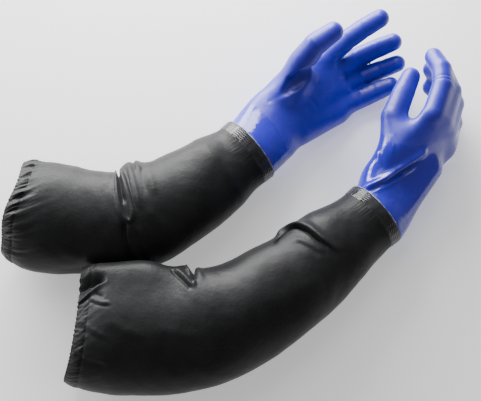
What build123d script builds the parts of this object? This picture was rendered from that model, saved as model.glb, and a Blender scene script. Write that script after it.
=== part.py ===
from build123d import *
import os
from math import cos, sin, radians

os.makedirs("parts", exist_ok=True)

# A pair of long cryogenic over-sleeve gloves lying on a bench, filled out to their worn shape.
# The origin is on the bench under the middle of the pair, +X runs from the arm openings towards
# the hands, +Y runs away from the user and +Z is up.

# ---- driving dimensions, mm ----
SHIFT_X, SHIFT_Y = -1.1, -6.0    # brings the middle of the pair over the origin

SLEEVE_WALL = 1.2               # coated fabric with its weld allowance
FLOOR_SINK = 2.0                # how far a sleeve would dip under the bench if it stayed round
PVC_WALL = 1.5                  # dipped glove wall
LINER_GAP = 0.3
LINER_WALL = 0.9                # knitted liner

CUFF_LAP = 22.0                 # gauntlet inside the sleeve end
CUFF_GAP = 0.3
JOIN_ZONE = 30.0                # straight end of the sleeve at the glove
BAND_WIDTH, BAND_THICK = 16.0, 1.0
BAND_RIBS, RIB_WIDTH, RIB_PROUD = 3, 1.6, 0.6
BEAD_WIDTH, BEAD_THICK = 1.8, 1.7
FIT_GAP = 0.1

HEM_ZONE = 20.0                 # straight end of the sleeve at the arm opening
CASING_WIDTH, CASING_WALL = 15.0, 0.8
ELASTIC_WIDTH, ELASTIC_THICK = 8.0, 1.4
STITCH_COUNT, STITCH_LONG, STITCH_WIDE, STITCH_PROUD = 36, 3.2, 0.9, 0.5

TAPE_WIDTH, TAPE_THICK = 9.0, 0.6
ELBOW_REACH, ELBOW_GAP = 42.0, 0.3  # half the stretch that bends, and the split beside it

# The elbow is the hinge's place and the headings of the two cuts beside it.
# Sleeve stations: x, y, heading in degrees, half width, half height, height of the middle
# (None where the sleeve lies on the bench). Gauntlet stations: place, heading, pitch, roll,
# half width, half thickness. Finger angles are spread towards the thumb and curl, per bone.
# The first is the arm opening and the last is the edge that laps the glove.
LEFT = dict(
    side="left",
    sleeve=[
        (-298, -14, -17, 65, 48, 58),
        (-256, -25, -15, 77, 62, None),
        (-208, -32, -4, 72, 62, None),
        (-149, -30, 20, 70, 62, None),
        (-80, 7, 34, 62, 56, None),
        (-32, 46, 39, 57, 50, None),
        (15, 84, 40, 49.5, 41, 44),
    ],
    tape_angle=-38,
    elbow=(-149, -30, 8, 30),
    gauntlet=[((38, 110, 42.5), 47, -1, 12, 49, 34), ((58, 133, 40.5), 40.5, -2, 27, 50, 31)],
    wrist=(58, 133, 40.5), heading=37.2, pitch=-3.5, roll=35.3, palm_sign=1,
    fingers=dict(
        index=[(14, 18), (9, 25), (6, 32)],
        middle=[(-3, -4), (-2, 30), (-2, 41)],
        ring=[(-9, -5), (-4, 29), (-3, 41)],
        little=[(-8, 10), (-3, 29), (-1, 37)],
        thumb=[(53, 36), (38, 44), (4, 9)],
    ),
)
RIGHT = dict(
    side="right",
    sleeve=[
        (-208, -182, -6, 69, 50, 58),
        (-165, -185, -4, 80, 65, None),
        (-119, -185, -2, 82, 66, None),
        (-60, -182, 8, 78, 65, None),
        (-5, -162, 26, 72, 62, None),
        (66, -117, 36.5, 65, 56, None),
        (130, -62, 40, 57, 49, None),
        (189, -13, 40, 48, 41, 44),
    ],
    tape_angle=134,
    elbow=(-60, -182, 0, 18),
    gauntlet=[((216, 37, 42), 50, 6, 45, 50, 31)],
    wrist=(216, 37, 42), heading=46.9, pitch=13.2, roll=61, palm_sign=-1,
    fingers=dict(
        index=[(1, 26), (2, 46), (2, 69)],
        middle=[(-1, 28), (-2, 62), (-1, 95)],
        ring=[(-2, 28), (-3, 72), (-4, 103)],
        little=[(-3, 28), (-4, 69), (-6, 93)],
        thumb=[(28, 36), (2, 22), (-2, 22)],
    ),
)

# Hand, sized for a large glove: forward, towards the thumb and towards the palm from the wrist
FINGERS = dict(
    index=dict(base=(101, 36, -2), bones=(47, 28, 27), radii=(13.8, 13.2, 12.8, 12.0)),
    middle=dict(base=(105, 13, -4), bones=(51, 32, 25), radii=(13.8, 13.2, 12.8, 11.6)),
    ring=dict(base=(101, -12, -3), bones=(48, 30, 25), radii=(13.2, 12.8, 12.3, 11.2)),
    little=dict(base=(91, -35, 0), bones=(38, 22, 22), radii=(12.6, 11.8, 11.2, 10.4)),
    thumb=dict(base=(30, 32, 8), bones=(47, 38, 30), radii=(21.0, 16.2, 14.6, 12.4)),
)
PALM = [                        # forward, half width, half thickness
    (46, 52, 25),
    (86, 51, 19),
    (104, 45, 14),
]
ROOT_BACK = 16.0                # how far a finger's root runs back into the palm


def point(x, y, z):
    return Vector(x + SHIFT_X, y + SHIFT_Y, z)


def direction(heading, pitch=0.0):
    h, p = radians(heading), radians(pitch)
    return Vector(cos(h) * cos(p), sin(h) * cos(p), sin(p))


def section_plane(at, heading, pitch, roll):
    """A plane across the glove: x across it, y up when roll is 0, z along it."""
    forward = direction(heading, pitch)
    left = direction(heading + 90)
    up = forward.cross(left)
    across = left * cos(radians(roll)) + up * sin(radians(roll))
    return Plane(origin=at, x_dir=across, z_dir=forward)


def stations(glove):
    rows = []
    for x, y, heading, half_w, half_h, z in glove["sleeve"]:
        z = half_h - FLOOR_SINK if z is None else z
        rows.append((section_plane(point(x, y, z), heading, 0, 0), half_w, half_h))
    return rows


def ellipse(plane, half_w, half_h):
    with BuildSketch(plane) as section:
        Ellipse(half_w, half_h)
    return section.sketch.face()


def circle(plane, radius):
    with BuildSketch(plane) as section:
        Circle(radius)
    return section.sketch.face()


def add_tube(glove, grow, past_ends=0.0):
    """The sleeve's outside, grown or shrunk, with straight ends that may run past its edges."""
    rows = stations(glove)
    first, a_w, a_h = rows[0]
    last, b_w, b_h = rows[-1]
    start = ellipse(first.offset(HEM_ZONE), a_w + grow, a_h + grow)
    end = ellipse(last.offset(-JOIN_ZONE), b_w + grow, b_h + grow)
    between = [ellipse(plane, half_w + grow, half_h + grow) for plane, half_w, half_h in rows[1:-1]]
    loft(sections=[start] + between + [end])
    extrude(to_extrude=start, amount=-(HEM_ZONE + past_ends))
    extrude(to_extrude=end, amount=JOIN_ZONE + past_ends)


def cut_below(z):
    split(bisect_by=Plane.XY.offset(z), keep=Keep.TOP)


def ring(plane, half_w, half_h, inner, outer, length):
    """A flat band round an ellipse, from inner to outer off it, along the plane's normal."""
    with BuildSketch(plane) as band:
        Ellipse(half_w + outer, half_h + outer)
        Ellipse(half_w + inner, half_h + inner, mode=Mode.SUBTRACT)
    extrude(to_extrude=band.sketch.face(), amount=length)


def hand_axes(glove):
    forward = direction(glove["heading"], glove["pitch"])
    left = direction(glove["heading"] + 90)
    up = forward.cross(left)
    roll = radians(glove["roll"])
    thumbward = left * cos(roll) + up * sin(roll)
    palmward = forward.cross(thumbward) * glove["palm_sign"]
    return forward, thumbward, palmward


def finger_path(glove, name):
    """Joint centres of one finger from its root to its tip, with the direction of each bone."""
    forward, thumbward, palmward = hand_axes(glove)
    data = FINGERS[name]
    b = data["base"]
    at = point(*glove["wrist"]) + forward * b[0] + thumbward * b[1] + palmward * b[2]
    joints, bones = [at], []
    for length, (spread, curl) in zip(data["bones"], glove["fingers"][name]):
        s, c = radians(spread), radians(curl)
        way = (forward * cos(s) + thumbward * sin(s)) * cos(c) + palmward * sin(c)
        at = at + way * length
        joints.append(at)
        bones.append(way)
    return joints, bones, data["radii"]


def add_finger(glove, name, inset):
    joints, bones, radii = finger_path(glove, name)
    back = joints[0] - bones[0] * ROOT_BACK
    turns = [bones[0], bones[0] + bones[1], bones[1] + bones[2], bones[2]]
    hinge = hand_axes(glove)[1]

    def across(at, way):
        way = way.normalized()
        return Plane(origin=at, x_dir=hinge - way * hinge.dot(way), z_dir=way)

    sections = [circle(across(back, bones[0]), radii[0] - inset)]
    for at, way, radius in zip(joints[:-1], turns[:-1], radii[:-1]):
        sections.append(circle(across(at, way), radius - inset))
    sections.append(circle(across(joints[-1], bones[2]), (radii[-1] - inset) * 0.985))
    loft(sections=sections, ruled=True)
    with Locations(joints[-1]):
        Sphere(radii[-1] - inset)


def add_hand(glove, inset, past_cuff=0.0):
    """Gauntlet, palm, fingers and thumb as one solid, inset all round."""
    end, half_w, half_h = stations(glove)[-1]
    half_w -= SLEEVE_WALL + CUFF_GAP + inset
    half_h -= SLEEVE_WALL + CUFF_GAP + inset
    leave = end.offset(5)
    forward, thumbward, palmward = hand_axes(glove)
    wrist = point(*glove["wrist"])
    edge = ellipse(leave, half_w, half_h)
    sections = [edge]
    for at, heading, pitch, roll, wide, thick in glove["gauntlet"]:
        plane = section_plane(point(*at), heading, pitch, roll)
        sections.append(ellipse(plane, wide - inset, thick - inset))
    for along, wide, thick in PALM:
        plane = Plane(origin=wrist + forward * along, x_dir=thumbward, z_dir=forward)
        sections.append(ellipse(plane, wide - inset, thick - inset))
    loft(sections=sections)
    extrude(to_extrude=edge, amount=-(CUFF_LAP + 5 + past_cuff))
    for name in FINGERS:
        add_finger(glove, name, inset)


for glove in (LEFT, RIGHT):
    side = glove["side"]
    rows = stations(glove)
    hem, hem_w, hem_h = rows[0]
    join, join_w, join_h = rows[-1]

    # glove shell: a dipped skin, open at the cuff
    with BuildPart() as hand_space:
        add_hand(glove, PVC_WALL, past_cuff=6)
    with BuildPart() as glove_shell:
        add_hand(glove, 0)
        add(hand_space.part, mode=Mode.SUBTRACT)
        cut_below(0)
    glove_shell.part.label = side + "_glove_shell"
    export_step(glove_shell.part, "parts/" + side + "_glove_shell.step")

    # knitted liner inside the shell, a little short of the cuff edge
    with BuildPart() as liner_space:
        add_hand(glove, PVC_WALL + LINER_GAP + LINER_WALL, past_cuff=6)
    with BuildPart() as knit_liner:
        add_hand(glove, PVC_WALL + LINER_GAP, past_cuff=-3)
        add(liner_space.part, mode=Mode.SUBTRACT)
        cut_below(PVC_WALL + LINER_GAP)
    knit_liner.part.label = side + "_knit_liner"
    export_step(knit_liner.part, "parts/" + side + "_knit_liner.step")

    # long sleeve, flat where it lies on the bench
    with BuildPart() as sleeve_space:
        add_tube(glove, -SLEEVE_WALL, past_ends=6)
        cut_below(SLEEVE_WALL)
    with BuildPart() as whole_sleeve:
        add_tube(glove, 0)
        cut_below(0)
        add(sleeve_space.part, mode=Mode.SUBTRACT)

    # weld tape along the sleeve, from the hem casing to the join band
    with BuildPart() as tape_under:
        add_tube(glove, FIT_GAP, past_ends=2)
    with BuildPart() as tape_over:
        add_tube(glove, FIT_GAP + TAPE_THICK)
        add(tape_under.part, mode=Mode.SUBTRACT)
    with BuildPart() as whole_tape:
        strip = [(hem.offset(HEM_ZONE), hem_w, hem_h)] + rows[1:-1]
        strip += [(join.offset(-JOIN_ZONE), join_w, join_h)]
        angle = radians(glove["tape_angle"])
        for plane, half_w, half_h in strip:
            foot = plane.origin + plane.x_dir * half_w * cos(angle)
            foot += plane.y_dir * half_h * sin(angle)
            out = (plane.x_dir * cos(angle) / half_w + plane.y_dir * sin(angle) / half_h).normalized()
            edge = plane.z_dir.cross(out)
            with BuildSketch(Plane(origin=foot, x_dir=edge, z_dir=plane.z_dir)):
                Rectangle(TAPE_WIDTH, 16)
        loft()
        add(tape_over.part, mode=Mode.INTERSECT)

    # both are divided at the elbow: the upper part, the stretch that bends, and the forearm
    x, y, heading_in, heading_out = glove["elbow"]
    bend_in = section_plane(point(x, y, 60), heading_in, 0, 0).offset(-ELBOW_REACH)
    bend_out = section_plane(point(x, y, 60), heading_out, 0, 0).offset(ELBOW_REACH)
    for whole, node in ((whole_sleeve, "_sleeve"), (whole_tape, "_seam_tape")):
        with BuildPart() as upper:
            add(whole.part)
            split(bisect_by=bend_in, keep=Keep.BOTTOM)
        upper.part.label = side + node + "_upper"
        export_step(upper.part, "parts/" + side + node + "_upper.step")

        with BuildPart() as elbow:
            add(whole.part)
            split(bisect_by=bend_in.offset(ELBOW_GAP), keep=Keep.TOP)
            split(bisect_by=bend_out.offset(-ELBOW_GAP), keep=Keep.BOTTOM)
        elbow.part.label = side + node + "_elbow"
        export_step(elbow.part, "parts/" + side + node + "_elbow.step")

        with BuildPart() as forearm:
            add(whole.part)
            split(bisect_by=bend_out, keep=Keep.TOP)
        forearm.part.label = side + node + "_forearm"
        export_step(forearm.part, "parts/" + side + node + "_forearm.step")

    # ribbed weld band round the sleeve's end
    with BuildPart() as join_band:
        ring(join.offset(-BAND_WIDTH - 1), join_w, join_h, FIT_GAP, FIT_GAP + BAND_THICK, BAND_WIDTH)
        for i in range(BAND_RIBS):
            along = -BAND_WIDTH - 1 + (i + 0.5) * BAND_WIDTH / BAND_RIBS - RIB_WIDTH / 2
            ring(join.offset(along), join_w, join_h, FIT_GAP + BAND_THICK / 2,
                 FIT_GAP + BAND_THICK + RIB_PROUD, RIB_WIDTH)
    join_band.part.label = side + "_join_band"
    export_step(join_band.part, "parts/" + side + "_join_band.step")

    # seal bead on the gauntlet, along the sleeve's edge
    with BuildPart() as seal_bead:
        lip = -(SLEEVE_WALL + CUFF_GAP) + FIT_GAP
        ring(join.offset(0.2), join_w, join_h, lip, lip + BEAD_THICK, BEAD_WIDTH)
    seal_bead.part.label = side + "_seal_bead"
    export_step(seal_bead.part, "parts/" + side + "_seal_bead.step")

    # elastic in a turned casing round the arm opening
    channel = FIT_GAP + CASING_WALL + 0.1
    with BuildPart() as hem_casing:
        deep = channel + ELASTIC_THICK + 0.1
        ring(hem.offset(0.5), hem_w, hem_h, FIT_GAP, deep + CASING_WALL, CASING_WIDTH)
        slot = (CASING_WIDTH - ELASTIC_WIDTH) / 2 - 0.15
        with BuildSketch(hem.offset(0.5 + slot)):
            Ellipse(hem_w + deep, hem_h + deep)
            Ellipse(hem_w + channel - 0.1, hem_h + channel - 0.1, mode=Mode.SUBTRACT)
        extrude(amount=ELASTIC_WIDTH + 0.3, mode=Mode.SUBTRACT)
    hem_casing.part.label = side + "_hem_casing"
    export_step(hem_casing.part, "parts/" + side + "_hem_casing.step")

    with BuildPart() as hem_elastic:
        ring(hem.offset(0.65 + slot), hem_w, hem_h, channel, channel + ELASTIC_THICK, ELASTIC_WIDTH)
    hem_elastic.part.label = side + "_hem_elastic"
    export_step(hem_elastic.part, "parts/" + side + "_hem_elastic.step")

    # row of stitches that closes the casing, just inside its inner edge
    with BuildPart() as hem_stitching:
        for i in range(STITCH_COUNT):
            angle = radians(360 * (i + 0.5) / STITCH_COUNT)
            half_w, half_h = hem_w + FIT_GAP, hem_h + FIT_GAP
            foot = hem.origin + hem.x_dir * half_w * cos(angle) + hem.y_dir * half_h * sin(angle)
            out = (hem.x_dir * cos(angle) / half_w + hem.y_dir * sin(angle) / half_h).normalized()
            foot += hem.z_dir * (CASING_WIDTH + 1.7)
            with BuildSketch(Plane(origin=foot, x_dir=hem.z_dir.cross(out), z_dir=out)):
                Rectangle(STITCH_LONG, STITCH_WIDE)
            extrude(amount=STITCH_PROUD)
    hem_stitching.part.label = side + "_hem_stitching"
    export_step(hem_stitching.part, "parts/" + side + "_hem_stitching.step")
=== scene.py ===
import math
import bpy
import numpy as np
import openvdb
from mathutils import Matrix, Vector


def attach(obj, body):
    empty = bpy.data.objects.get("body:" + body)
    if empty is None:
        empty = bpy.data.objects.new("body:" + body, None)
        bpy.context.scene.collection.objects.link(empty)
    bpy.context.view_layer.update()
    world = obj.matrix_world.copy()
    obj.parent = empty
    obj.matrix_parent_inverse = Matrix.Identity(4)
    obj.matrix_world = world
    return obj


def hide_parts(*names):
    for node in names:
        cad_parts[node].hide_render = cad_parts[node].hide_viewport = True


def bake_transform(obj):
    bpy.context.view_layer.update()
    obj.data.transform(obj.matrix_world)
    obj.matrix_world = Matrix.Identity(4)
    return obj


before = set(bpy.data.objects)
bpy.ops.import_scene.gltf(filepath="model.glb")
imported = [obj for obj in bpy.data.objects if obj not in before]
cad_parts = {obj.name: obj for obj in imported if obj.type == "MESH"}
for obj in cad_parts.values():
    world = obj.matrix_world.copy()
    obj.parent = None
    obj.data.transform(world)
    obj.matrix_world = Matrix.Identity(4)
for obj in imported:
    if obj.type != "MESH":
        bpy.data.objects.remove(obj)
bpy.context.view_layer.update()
SHIFT = np.array([-1.1, -6.0, 0.0])          # the CAD layout's shift, mm

# ------------------------------------------------------------------ layout, mm and degrees
# The left glove lies at the back and the right one in front. For each of them:
#   sleeve    x, y, heading, half width, half height and height of the middle, from the arm opening on
#   elbow     x, y and heading of the middle of the stretch that bends
#   gauntlet  middle, heading, pitch, roll, half width and half thickness
#   wrist     where the hand starts; heading, pitch, roll and palm_sign say how it is turned
#   fingers   each bone's turn sideways and its curl
LEFT = dict(
    side="left",
    sleeve=[(-298, -14, -17, 65, 48, 58), (-256, -25, -15, 77, 62, 60), (-208, -32, -4, 72, 62, 60),
            (-149, -30, 20, 70, 62, 60), (-80, 7, 34, 62, 56, 54), (-32, 46, 39, 57, 50, 48),
            (15, 84, 40, 49.5, 41, 44)],
    elbow=(-149, -30, 19), seed=3,
    gauntlet=[((38, 110, 42.5), 47, -1, 12, 49, 34), ((58, 133, 40.5), 40.5, -2, 27, 50, 31)],
    wrist=(58, 133, 40.5), heading=37.2, pitch=-3.5, roll=35.3, palm_sign=1,
    fingers=dict(index=[(14, 18), (9, 25), (6, 32)], middle=[(-3, -4), (-2, 30), (-2, 41)],
                 ring=[(-9, -5), (-4, 29), (-3, 41)], little=[(-8, 10), (-3, 29), (-1, 37)],
                 thumb=[(53, 36), (38, 44), (4, 9)]))
RIGHT = dict(
    side="right",
    sleeve=[(-208, -182, -6, 69, 50, 58), (-165, -185, -4, 80, 65, 63), (-119, -185, -2, 82, 66, 64),
            (-60, -182, 8, 78, 65, 63), (-5, -162, 26, 72, 62, 60), (66, -117, 36.5, 65, 56, 54),
            (130, -62, 40, 57, 49, 47), (189, -13, 40, 48, 41, 44)],
    elbow=(-60, -182, 9), seed=11,
    gauntlet=[((216, 37, 42), 50, 6, 45, 50, 31)],
    wrist=(216, 37, 42), heading=46.9, pitch=13.2, roll=61, palm_sign=-1,
    fingers=dict(index=[(1, 26), (2, 46), (2, 69)], middle=[(-1, 28), (-2, 62), (-1, 95)],
                 ring=[(-2, 28), (-3, 72), (-4, 103)], little=[(-3, 28), (-4, 69), (-6, 93)],
                 thumb=[(28, 36), (2, 22), (-2, 22)]))
# The root from the wrist (forward, thumbward, palmward), the bones, and the radius at each joint.
FINGERS = dict(
    index=((101, 36, -2), (47, 28, 27), (13.8, 13.2, 12.8, 12.0)),
    middle=((105, 13, -4), (51, 32, 25), (13.8, 13.2, 12.8, 11.6)),
    ring=((101, -12, -3), (48, 30, 25), (13.2, 12.8, 12.3, 11.2)),
    little=((91, -36, 0), (38, 22, 22), (14.2, 13.4, 12.6, 11.2)),
    thumb=((30, 32, 8), (47, 38, 30), (21.0, 16.2, 14.6, 12.4)))
# Sections of the palm: distance from the wrist, half width, half thickness.
PALM = [(46, 52, 25), (86, 51, 19), (104, 46, 14), (112, 38, 9)]
HEM_ZONE, JOIN_ZONE = 20.0, 30.0             # straight stretch at each end of a sleeve
CUFF_LAP, CUFF_INSET = 22.0, 1.5             # how far the cuff runs up inside the sleeve, and its gap
FLARE = 64.0                                 # where the gathered end has opened to the full tube
SPAN_STEPS = 24                              # points in each span of a sleeve's middle line
EVEN_REACH, EVEN_WIDTH = 24, 8.0             # the bell that evens out a sleeve's heading
FABRIC_WALL, CASING_WALL, BAND_WALL, SHELL_WALL = 0.8, 0.5, 0.2, 1.2     # wall thicknesses
BAND_BACK, BAND_FRONT = 17.6, 0.6            # the weld band's ends, back from the join
LINER_GAP = 1.7                              # the liner's distance inside the shell's skin
# How many stitches, how far in they run, half of one as a share of their pitch, the thread's radius.
STITCHES, STITCH_LINE, STITCH_SHARE, STITCH_RADIUS = 84, 17.6, 0.29, 0.36
TAPE_HALF_WIDTH = 4.3


# ------------------------------------------------------------------ small maths
def unit(v):
    v = np.asarray(v, float)
    return v / np.linalg.norm(v)


def direction(heading, pitch=0.0):
    """The unit vector that points along a heading and up by a pitch, in degrees."""
    h, p = math.radians(heading), math.radians(pitch)
    return np.array([math.cos(h) * math.cos(p), math.sin(h) * math.cos(p), math.sin(p)])


def section(at, heading, pitch, roll):
    """Middle, forward, across and the third axis of a plane across the glove."""
    forward, left = direction(heading, pitch), direction(heading + 90)
    up = np.cross(forward, left)
    across = left * math.cos(math.radians(roll)) + up * math.sin(math.radians(roll))
    return np.asarray(at, float) + SHIFT, forward, across, np.cross(forward, across)


def hand_axes(g):
    """Forward, thumbward and palmward of a glove's hand."""
    _, forward, thumbward, other = section((0, 0, 0), g["heading"], g["pitch"], g["roll"])
    return forward, thumbward, other * g["palm_sign"]


def finger_joints(g, name):
    """The four joints of a finger, root to tip, and the radius at each."""
    f, t, n = hand_axes(g)
    base, bones, radii = FINGERS[name]
    at = np.array(g["wrist"], float) + SHIFT + f * base[0] + t * base[1] + n * base[2]
    out = [at]
    for length, (spread, curl) in zip(bones, g["fingers"][name]):
        s, c = math.radians(spread), math.radians(curl)
        at = at + ((f * math.cos(s) + t * math.sin(s)) * math.cos(c) + n * math.sin(c)) * length
        out.append(at)
    return np.array(out), radii


def smoothstep(a, b, x):
    t = np.clip((x - a) / (b - a), 0, 1)
    return t * t * (3 - 2 * t)


def catmull(rows, per):
    """Rows of numbers made dense by a Catmull-Rom spline."""
    P = np.asarray(rows, float)
    P = np.vstack([2 * P[0] - P[1], P, 2 * P[-1] - P[-2]])
    out = []
    for i in range(1, len(P) - 2):
        a, b, c, d = P[i - 1:i + 3]
        for t in np.linspace(0, 1, per, endpoint=False):
            out.append(0.5 * (2 * b + (c - a) * t + (2 * a - 5 * b + 4 * c - d) * t * t
                              + (3 * b - a - 3 * c + d) * t ** 3))
    out.append(P[-2])
    return np.array(out)


def new_mesh(name, verts_mm, faces):
    """A smooth-shaded object in metres from points in millimetres."""
    mesh = bpy.data.meshes.new(name)
    points = [tuple(v) for v in np.asarray(verts_mm) / 1000.0]
    mesh.from_pydata(points, [], [tuple(map(int, f)) for f in faces])
    mesh.validate()
    mesh.update()
    mesh.polygons.foreach_set("use_smooth", [True] * len(mesh.polygons))
    obj = bpy.data.objects.new(name, mesh)
    bpy.context.scene.collection.objects.link(obj)
    return obj


def paint(obj, name, values):
    """A number for every point of the mesh, for its material."""
    a = obj.data.attributes.new(name, "FLOAT", "POINT")
    a.data.foreach_set("value", np.asarray(values, np.float32))


def solidify(obj, thickness_mm):
    """Give a skin its wall, on its inner side, as part of its mesh."""
    wall = obj.modifiers.new("wall", "SOLIDIFY")
    wall.thickness = thickness_mm / 1000.0
    wall.offset = -1.0
    deps = bpy.context.evaluated_depsgraph_get()
    new = bpy.data.meshes.new_from_object(obj.evaluated_get(deps))
    obj.modifiers.clear()
    obj.data = new
    new.polygons.foreach_set("use_smooth", [True] * len(new.polygons))


# ------------------------------------------------------------------ sleeves
class Sleeve:
    """The sleeve as a tube over s (mm from the arm opening) and t (turn round it, 0 at +left)."""

    def __init__(self, g):
        rows = [np.array(r, float) for r in g["sleeve"]]
        first, last = rows[0], rows[-1]
        hem_end, join_start = first.copy(), last.copy()
        hem_end[:3] += np.append(direction(first[2])[:2] * HEM_ZONE, 0)
        join_start[:3] -= np.append(direction(last[2])[:2] * JOIN_ZONE, 0)
        rows = [first, hem_end] + rows[1:-1] + [join_start, last]
        pts, size = [], []
        shape = np.array([r[3:6] for r in rows])
        for i in range(len(rows) - 1):
            p, q = rows[i][:2], rows[i + 1][:2]
            chord = np.linalg.norm(q - p)
            tp, tq = direction(rows[i][2])[:2] * chord, direction(rows[i + 1][2])[:2] * chord
            before, after = shape[max(i - 1, 0)], shape[min(i + 2, len(rows) - 1)]
            ma = (shape[i + 1] - before) / 2 if i else np.zeros(3)
            mb = (after - shape[i]) / 2 if i < len(rows) - 2 else np.zeros(3)
            for t in np.linspace(0, 1, SPAN_STEPS, endpoint=False):
                h00, h10 = 2 * t ** 3 - 3 * t * t + 1, t ** 3 - 2 * t * t + t
                h01, h11 = 3 * t * t - 2 * t ** 3, t ** 3 - t * t
                pts.append(h00 * p + h10 * tp + h01 * q + h11 * tq)
                size.append(h00 * shape[i] + h10 * ma + h01 * shape[i + 1] + h11 * mb)
        pts.append(rows[-1][:2])
        size.append(shape[-1])
        pts, size = np.array(pts), np.array(size)
        d = np.gradient(pts, axis=0)
        self.along = np.concatenate([[0], np.cumsum(np.linalg.norm(np.diff(pts, axis=0), axis=1))])
        self.length = self.along[-1]
        # the gathered end opens out quickly into the full tube
        full = np.array([np.interp(FLARE, self.along, size[:, k]) for k in range(3)])
        near = self.along < FLARE
        pull = (1 - self.along[near] / FLARE)[:, None] ** 2.3
        size[near] = full + (size[0] - full) * pull
        self.centre = np.column_stack([pts, size[:, 2]]) + SHIFT
        # the heading is evened out in 1 mm steps, so no ring shows where two spans meet
        even = np.arange(0, self.length + 1, 1.0)
        turn = np.interp(even, self.along, np.unwrap(np.arctan2(d[:, 1], d[:, 0])))
        bell = np.exp(-0.5 * (np.arange(-EVEN_REACH, EVEN_REACH + 1) / EVEN_WIDTH) ** 2)
        turn = np.convolve(np.pad(turn, EVEN_REACH, mode="edge"), bell / bell.sum(), "valid")
        self.angle = np.interp(self.along, even, turn)
        self.size = size[:, :2]

    def at(self, s):
        """Middle, forward, left, half width and half height; past its ends the tube runs on straight."""
        s = np.asarray(s, float)
        c = np.stack([np.interp(s, self.along, self.centre[:, k]) for k in range(3)], -1)
        over = np.maximum(s - self.length, 0) + np.minimum(s, 0)
        h = np.interp(s, self.along, self.angle)
        forward = np.stack([np.cos(h), np.sin(h), 0 * h], -1)
        left = np.stack([-np.sin(h), np.cos(h), 0 * h], -1)
        w = np.interp(s, self.along, self.size[:, 0])
        hh = np.interp(s, self.along, self.size[:, 1])
        return c + forward * over[..., None], forward, left, w, hh

    def surface(self, s, t, lift=0.0):
        """Points and outward normals at s, t (radians), lifted off the plain tube."""
        c, forward, left, w, h = self.at(s)
        up = np.array([0, 0, 1.0])
        ct, st = np.cos(t)[..., None], np.sin(t)[..., None]
        p = c + left * ct * w[..., None] + up * st * h[..., None]
        n = left * ct / w[..., None] + up * st / h[..., None]
        n /= np.linalg.norm(n, axis=-1, keepdims=True)
        return p + n * np.asarray(lift)[..., None], n, forward


def waves(seed, count, low, high):
    """Uneven round-the-sleeve ripple: a seeded sum of whole waves, about -1 to 1."""
    rng = np.random.default_rng(seed)
    k = rng.integers(low, high + 1, count)
    ph, drift = rng.uniform(0, 2 * np.pi, count), rng.uniform(-0.02, 0.02, count)
    amp = rng.uniform(0.5, 1.0, count)

    def ripple(s, t):
        total = 0
        for a, b, c, d in zip(k, ph, drift, amp):
            total = total + d * np.sin(a * t + b + c * s * a / 6)
        return total / amp.sum() * 1.6
    return ripple


def slow(seed, count=10, reach=(55.0, 130.0), turns=(0, 4)):
    """Seeded swells over the fabric; reach is the least and greatest wavelength in mm."""
    rng = np.random.default_rng(seed)
    kx = 2 * np.pi / rng.uniform(*reach, count) * rng.choice([-1, 1], count)
    kt, ph = rng.integers(turns[0], turns[1] + 1, count), rng.uniform(0, 2 * np.pi, count)

    def field(s, t):
        return sum(np.sin(a * s + b * t + c) for a, b, c in zip(kx, kt, ph)) / count ** 0.5
    return field


def stroke_field(points, s, t, radius):
    """For surface points (s, t): distance to a stroke, signed side, and place along it 0 to 1.
    points are (s in mm, turn in degrees)."""
    P = np.array([(a, math.radians(b)) for a, b in points], float)
    P = catmull(P, 8) if len(P) > 2 else P
    best = np.full(np.shape(s), 1e9)
    side, place = np.zeros(np.shape(s)), np.zeros(np.shape(s))
    for i in range(len(P) - 1):
        a, b = P[i], P[i + 1]
        dt = (t - a[1] + np.pi) % (2 * np.pi) - np.pi
        x, y = s - a[0], dt * radius
        ex, ey = b[0] - a[0], (b[1] - a[1]) * radius
        L2 = ex * ex + ey * ey + 1e-9
        u = np.clip((x * ex + y * ey) / L2, 0, 1)
        dx, dy = x - u * ex, y - u * ey
        d = np.hypot(dx, dy)
        near = d < best
        best = np.where(near, d, best)
        side = np.where(near, np.sign(ex * dy - ey * dx), side)
        place = np.where(near, (i + u) / (len(P) - 1), place)
    return best, side, place


def fold(points, high, wide, deep=0.0, gap=1.5, lean=0.0, ends=0.22, taper=0.0):
    """A ridge (or, below 0, a valley) along a stroke over (s, turn in degrees): its height and width,
    a valley beside it, how far it leans over, how it fades at its ends and how it narrows."""
    return dict(points=points, high=high, wide=wide, deep=deep, gap=gap, lean=lean, ends=ends,
                taper=taper)


# Where each sleeve buckles. A bulge is (s, turn, height, reach along, reach round in degrees), and a
# hem_pull is (turn, how far the arm opening runs out there, reach round in degrees).
LEFT["folds"] = [
    fold([(156, -48), (155, -12), (154, 20), (154, 44)], -11, 5.5, ends=0.10),
    fold([(148, -10), (146, 10), (145, 32), (142, 60), (141, 80), (143, 98), (149, 107), (155, 100),
          (158, 84), (160, 62), (161, 38), (162, 14)], 4.0, 2.9, ends=0.12),
    fold([(154, 26), (152, 50), (150, 66), (149, 80), (149, 90)], -4.4, 3.6, ends=0.3),
    fold([(149, 106), (146, 122), (147, 150), (151, 182), (155, 214)], 3.4, 3.2, deep=4.6, gap=1.4,
         ends=0.12),
    fold([(157, 112), (155, 132), (156, 160), (161, 186)], 1.6, 3.4, deep=0.8),
    fold([(180, 26), (177, 44), (172, 66), (167, 88), (166, 104)], 2.2, 4.6, deep=2.0, gap=1.7,
         ends=0.3),
    fold([(200, -8), (198, 12), (193, 34), (187, 56)], 2.2, 4.2, deep=2.4, gap=1.6, ends=0.25),
    fold([(212, 22), (206, 44), (196, 72), (190, 92)], 1.2, 6.0, deep=1.0, gap=1.7),
    fold([(176, 96), (182, 124), (190, 150)], 1.0, 7.0),
    fold([(128, 10), (122, 40), (120, 66)], 0.9, 8.0),
    fold([(268, 30), (282, 64), (300, 96)], 0.8, 9.0),
    fold([(60, 120), (84, 140), (112, 152)], 0.8, 10.0),
]
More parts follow.
